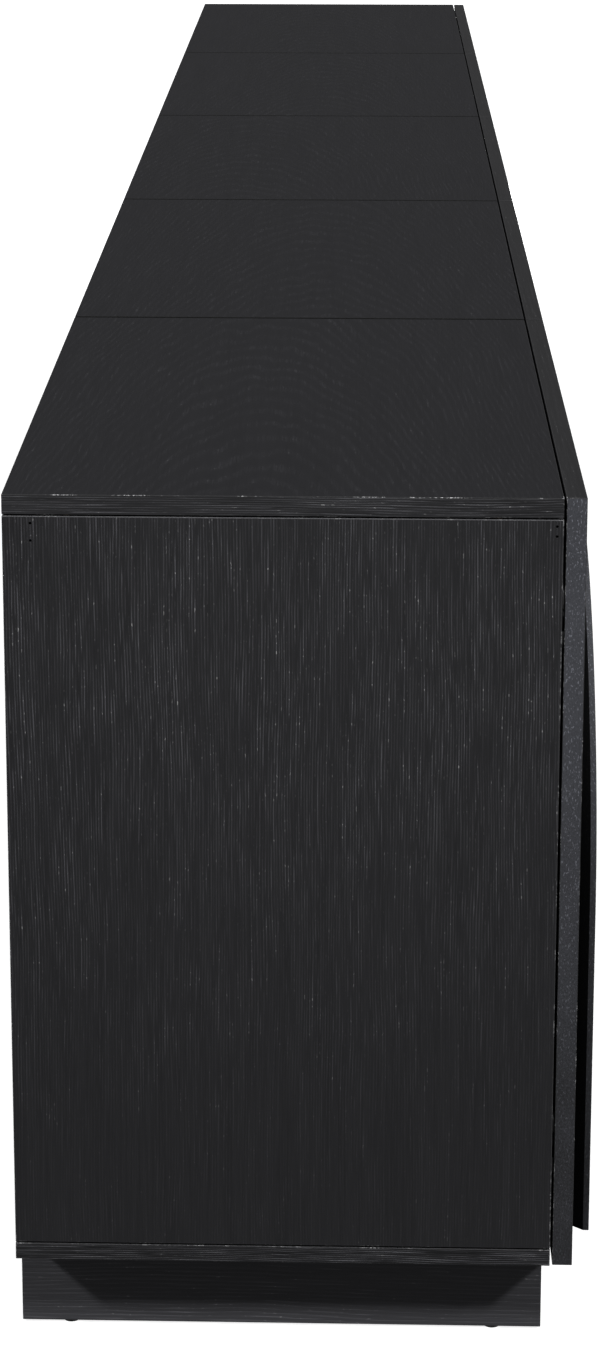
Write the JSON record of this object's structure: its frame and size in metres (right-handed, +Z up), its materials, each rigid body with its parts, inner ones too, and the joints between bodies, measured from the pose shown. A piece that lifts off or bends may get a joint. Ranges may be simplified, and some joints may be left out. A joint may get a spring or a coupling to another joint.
{
  "type": "sideboard buffet",
  "caption": "Long low sideboard on a recessed plinth, with a row of one-door bays; each flat door carries a raised arch-topped panel that is undercut as a finger grip.",
  "frame": {"origin": "centre of the footprint, on the floor", "axes": "+X along the length, +Z up, the doors face -Y"},
  "size_m": [3, 0.465, 0.724],
  "materials": {
    "stained_oak_top": "black stained oak veneer, satin, grain along the length",
    "stained_oak_side": "black stained brushed oak veneer, open silver-grey pores, upright grain",
    "stained_oak_door": "black stained brushed oak veneer, upright grain, lightly rubbed edges",
    "stained_oak_plinth": "black stained oak, level grain",
    "stained_oak_inside": "black stained oak veneer, matt",
    "nickel_steel": "black nickel plated steel",
    "beech": "raw fluted beech",
    "soft_bumper": "clear soft plastic",
    "nylon_glide": "moulded nylon"
  },
  "bodies": {
    "carcase": {"plinth_front": "stained_oak_plinth", "plinth_back": "stained_oak_plinth", "plinth_left_end": "stained_oak_plinth", "plinth_right_end": "stained_oak_plinth", "top_board_1": "stained_oak_top", "top_board_2": "stained_oak_top", "top_board_3": "stained_oak_top", "top_board_4": "stained_oak_top", "top_board_5": "stained_oak_top", "bottom_board_1": "stained_oak_side", "bottom_board_2": "stained_oak_side", "bottom_board_3": "stained_oak_side", "bottom_board_4": "stained_oak_side", "bottom_board_5": "stained_oak_side", "side_left_1": "stained_oak_side", "side_left_2": "stained_oak_side", "side_left_3": "stained_oak_side", "side_left_4": "stained_oak_side", "side_left_5": "stained_oak_side", "side_right_1": "stained_oak_side", "side_right_2": "stained_oak_side", "side_right_3": "stained_oak_side", "side_right_4": "stained_oak_side", "side_right_5": "stained_oak_side", "shelf_1": "stained_oak_inside", "shelf_2": "stained_oak_inside", "shelf_3": "stained_oak_inside", "shelf_4": "stained_oak_inside", "shelf_5": "stained_oak_inside", "back_panel_1": "stained_oak_inside", "back_panel_2": "stained_oak_inside", "back_panel_3": "stained_oak_inside", "back_panel_4": "stained_oak_inside", "back_panel_5": "stained_oak_inside", "plinth_cross_rails": "stained_oak_inside", "shelf_pins": "nickel_steel", "bay_bolts": "nickel_steel", "edge_brads": "nickel_steel", "hinge_plates": "nickel_steel", "hinge_arms": "nickel_steel", "dowels": "beech", "door_bumpers": "soft_bumper", "plinth_glides": "nylon_glide"},
    "door_1": {"door_slab_1": "stained_oak_door", "arch_panel_1": "stained_oak_door", "hinge_cups_1": "nickel_steel"},
    "door_2": {"door_slab_2": "stained_oak_door", "arch_panel_2": "stained_oak_door", "hinge_cups_2": "nickel_steel"},
    "door_3": {"door_slab_3": "stained_oak_door", "arch_panel_3": "stained_oak_door", "hinge_cups_3": "nickel_steel"},
    "door_4": {"door_slab_4": "stained_oak_door", "arch_panel_4": "stained_oak_door", "hinge_cups_4": "nickel_steel"},
    "door_5": {"door_slab_5": "stained_oak_door", "arch_panel_5": "stained_oak_door", "hinge_cups_5": "nickel_steel"}
  },
  "joints": [
    {"name": "door_1_swing", "type": "hinge", "parent": "carcase", "child": "door_1", "pos_m": [-1.4905, -0.2205, 0.402], "axis": [0, 0, -1], "range_deg": [0, 100]},
    {"name": "door_2_swing", "type": "hinge", "parent": "carcase", "child": "door_2", "pos_m": [-0.8905, -0.2205, 0.402], "axis": [0, 0, -1], "range_deg": [0, 100]},
    {"name": "door_3_swing", "type": "hinge", "parent": "carcase", "child": "door_3", "pos_m": [-0.2905, -0.2205, 0.402], "axis": [0, 0, -1], "range_deg": [0, 100]},
    {"name": "door_4_swing", "type": "hinge", "parent": "carcase", "child": "door_4", "pos_m": [0.3095, -0.2205, 0.402], "axis": [0, 0, -1], "range_deg": [0, 100]},
    {"name": "door_5_swing", "type": "hinge", "parent": "carcase", "child": "door_5", "pos_m": [0.9095, -0.2205, 0.402], "axis": [0, 0, -1], "range_deg": [0, 100]}
  ]
}
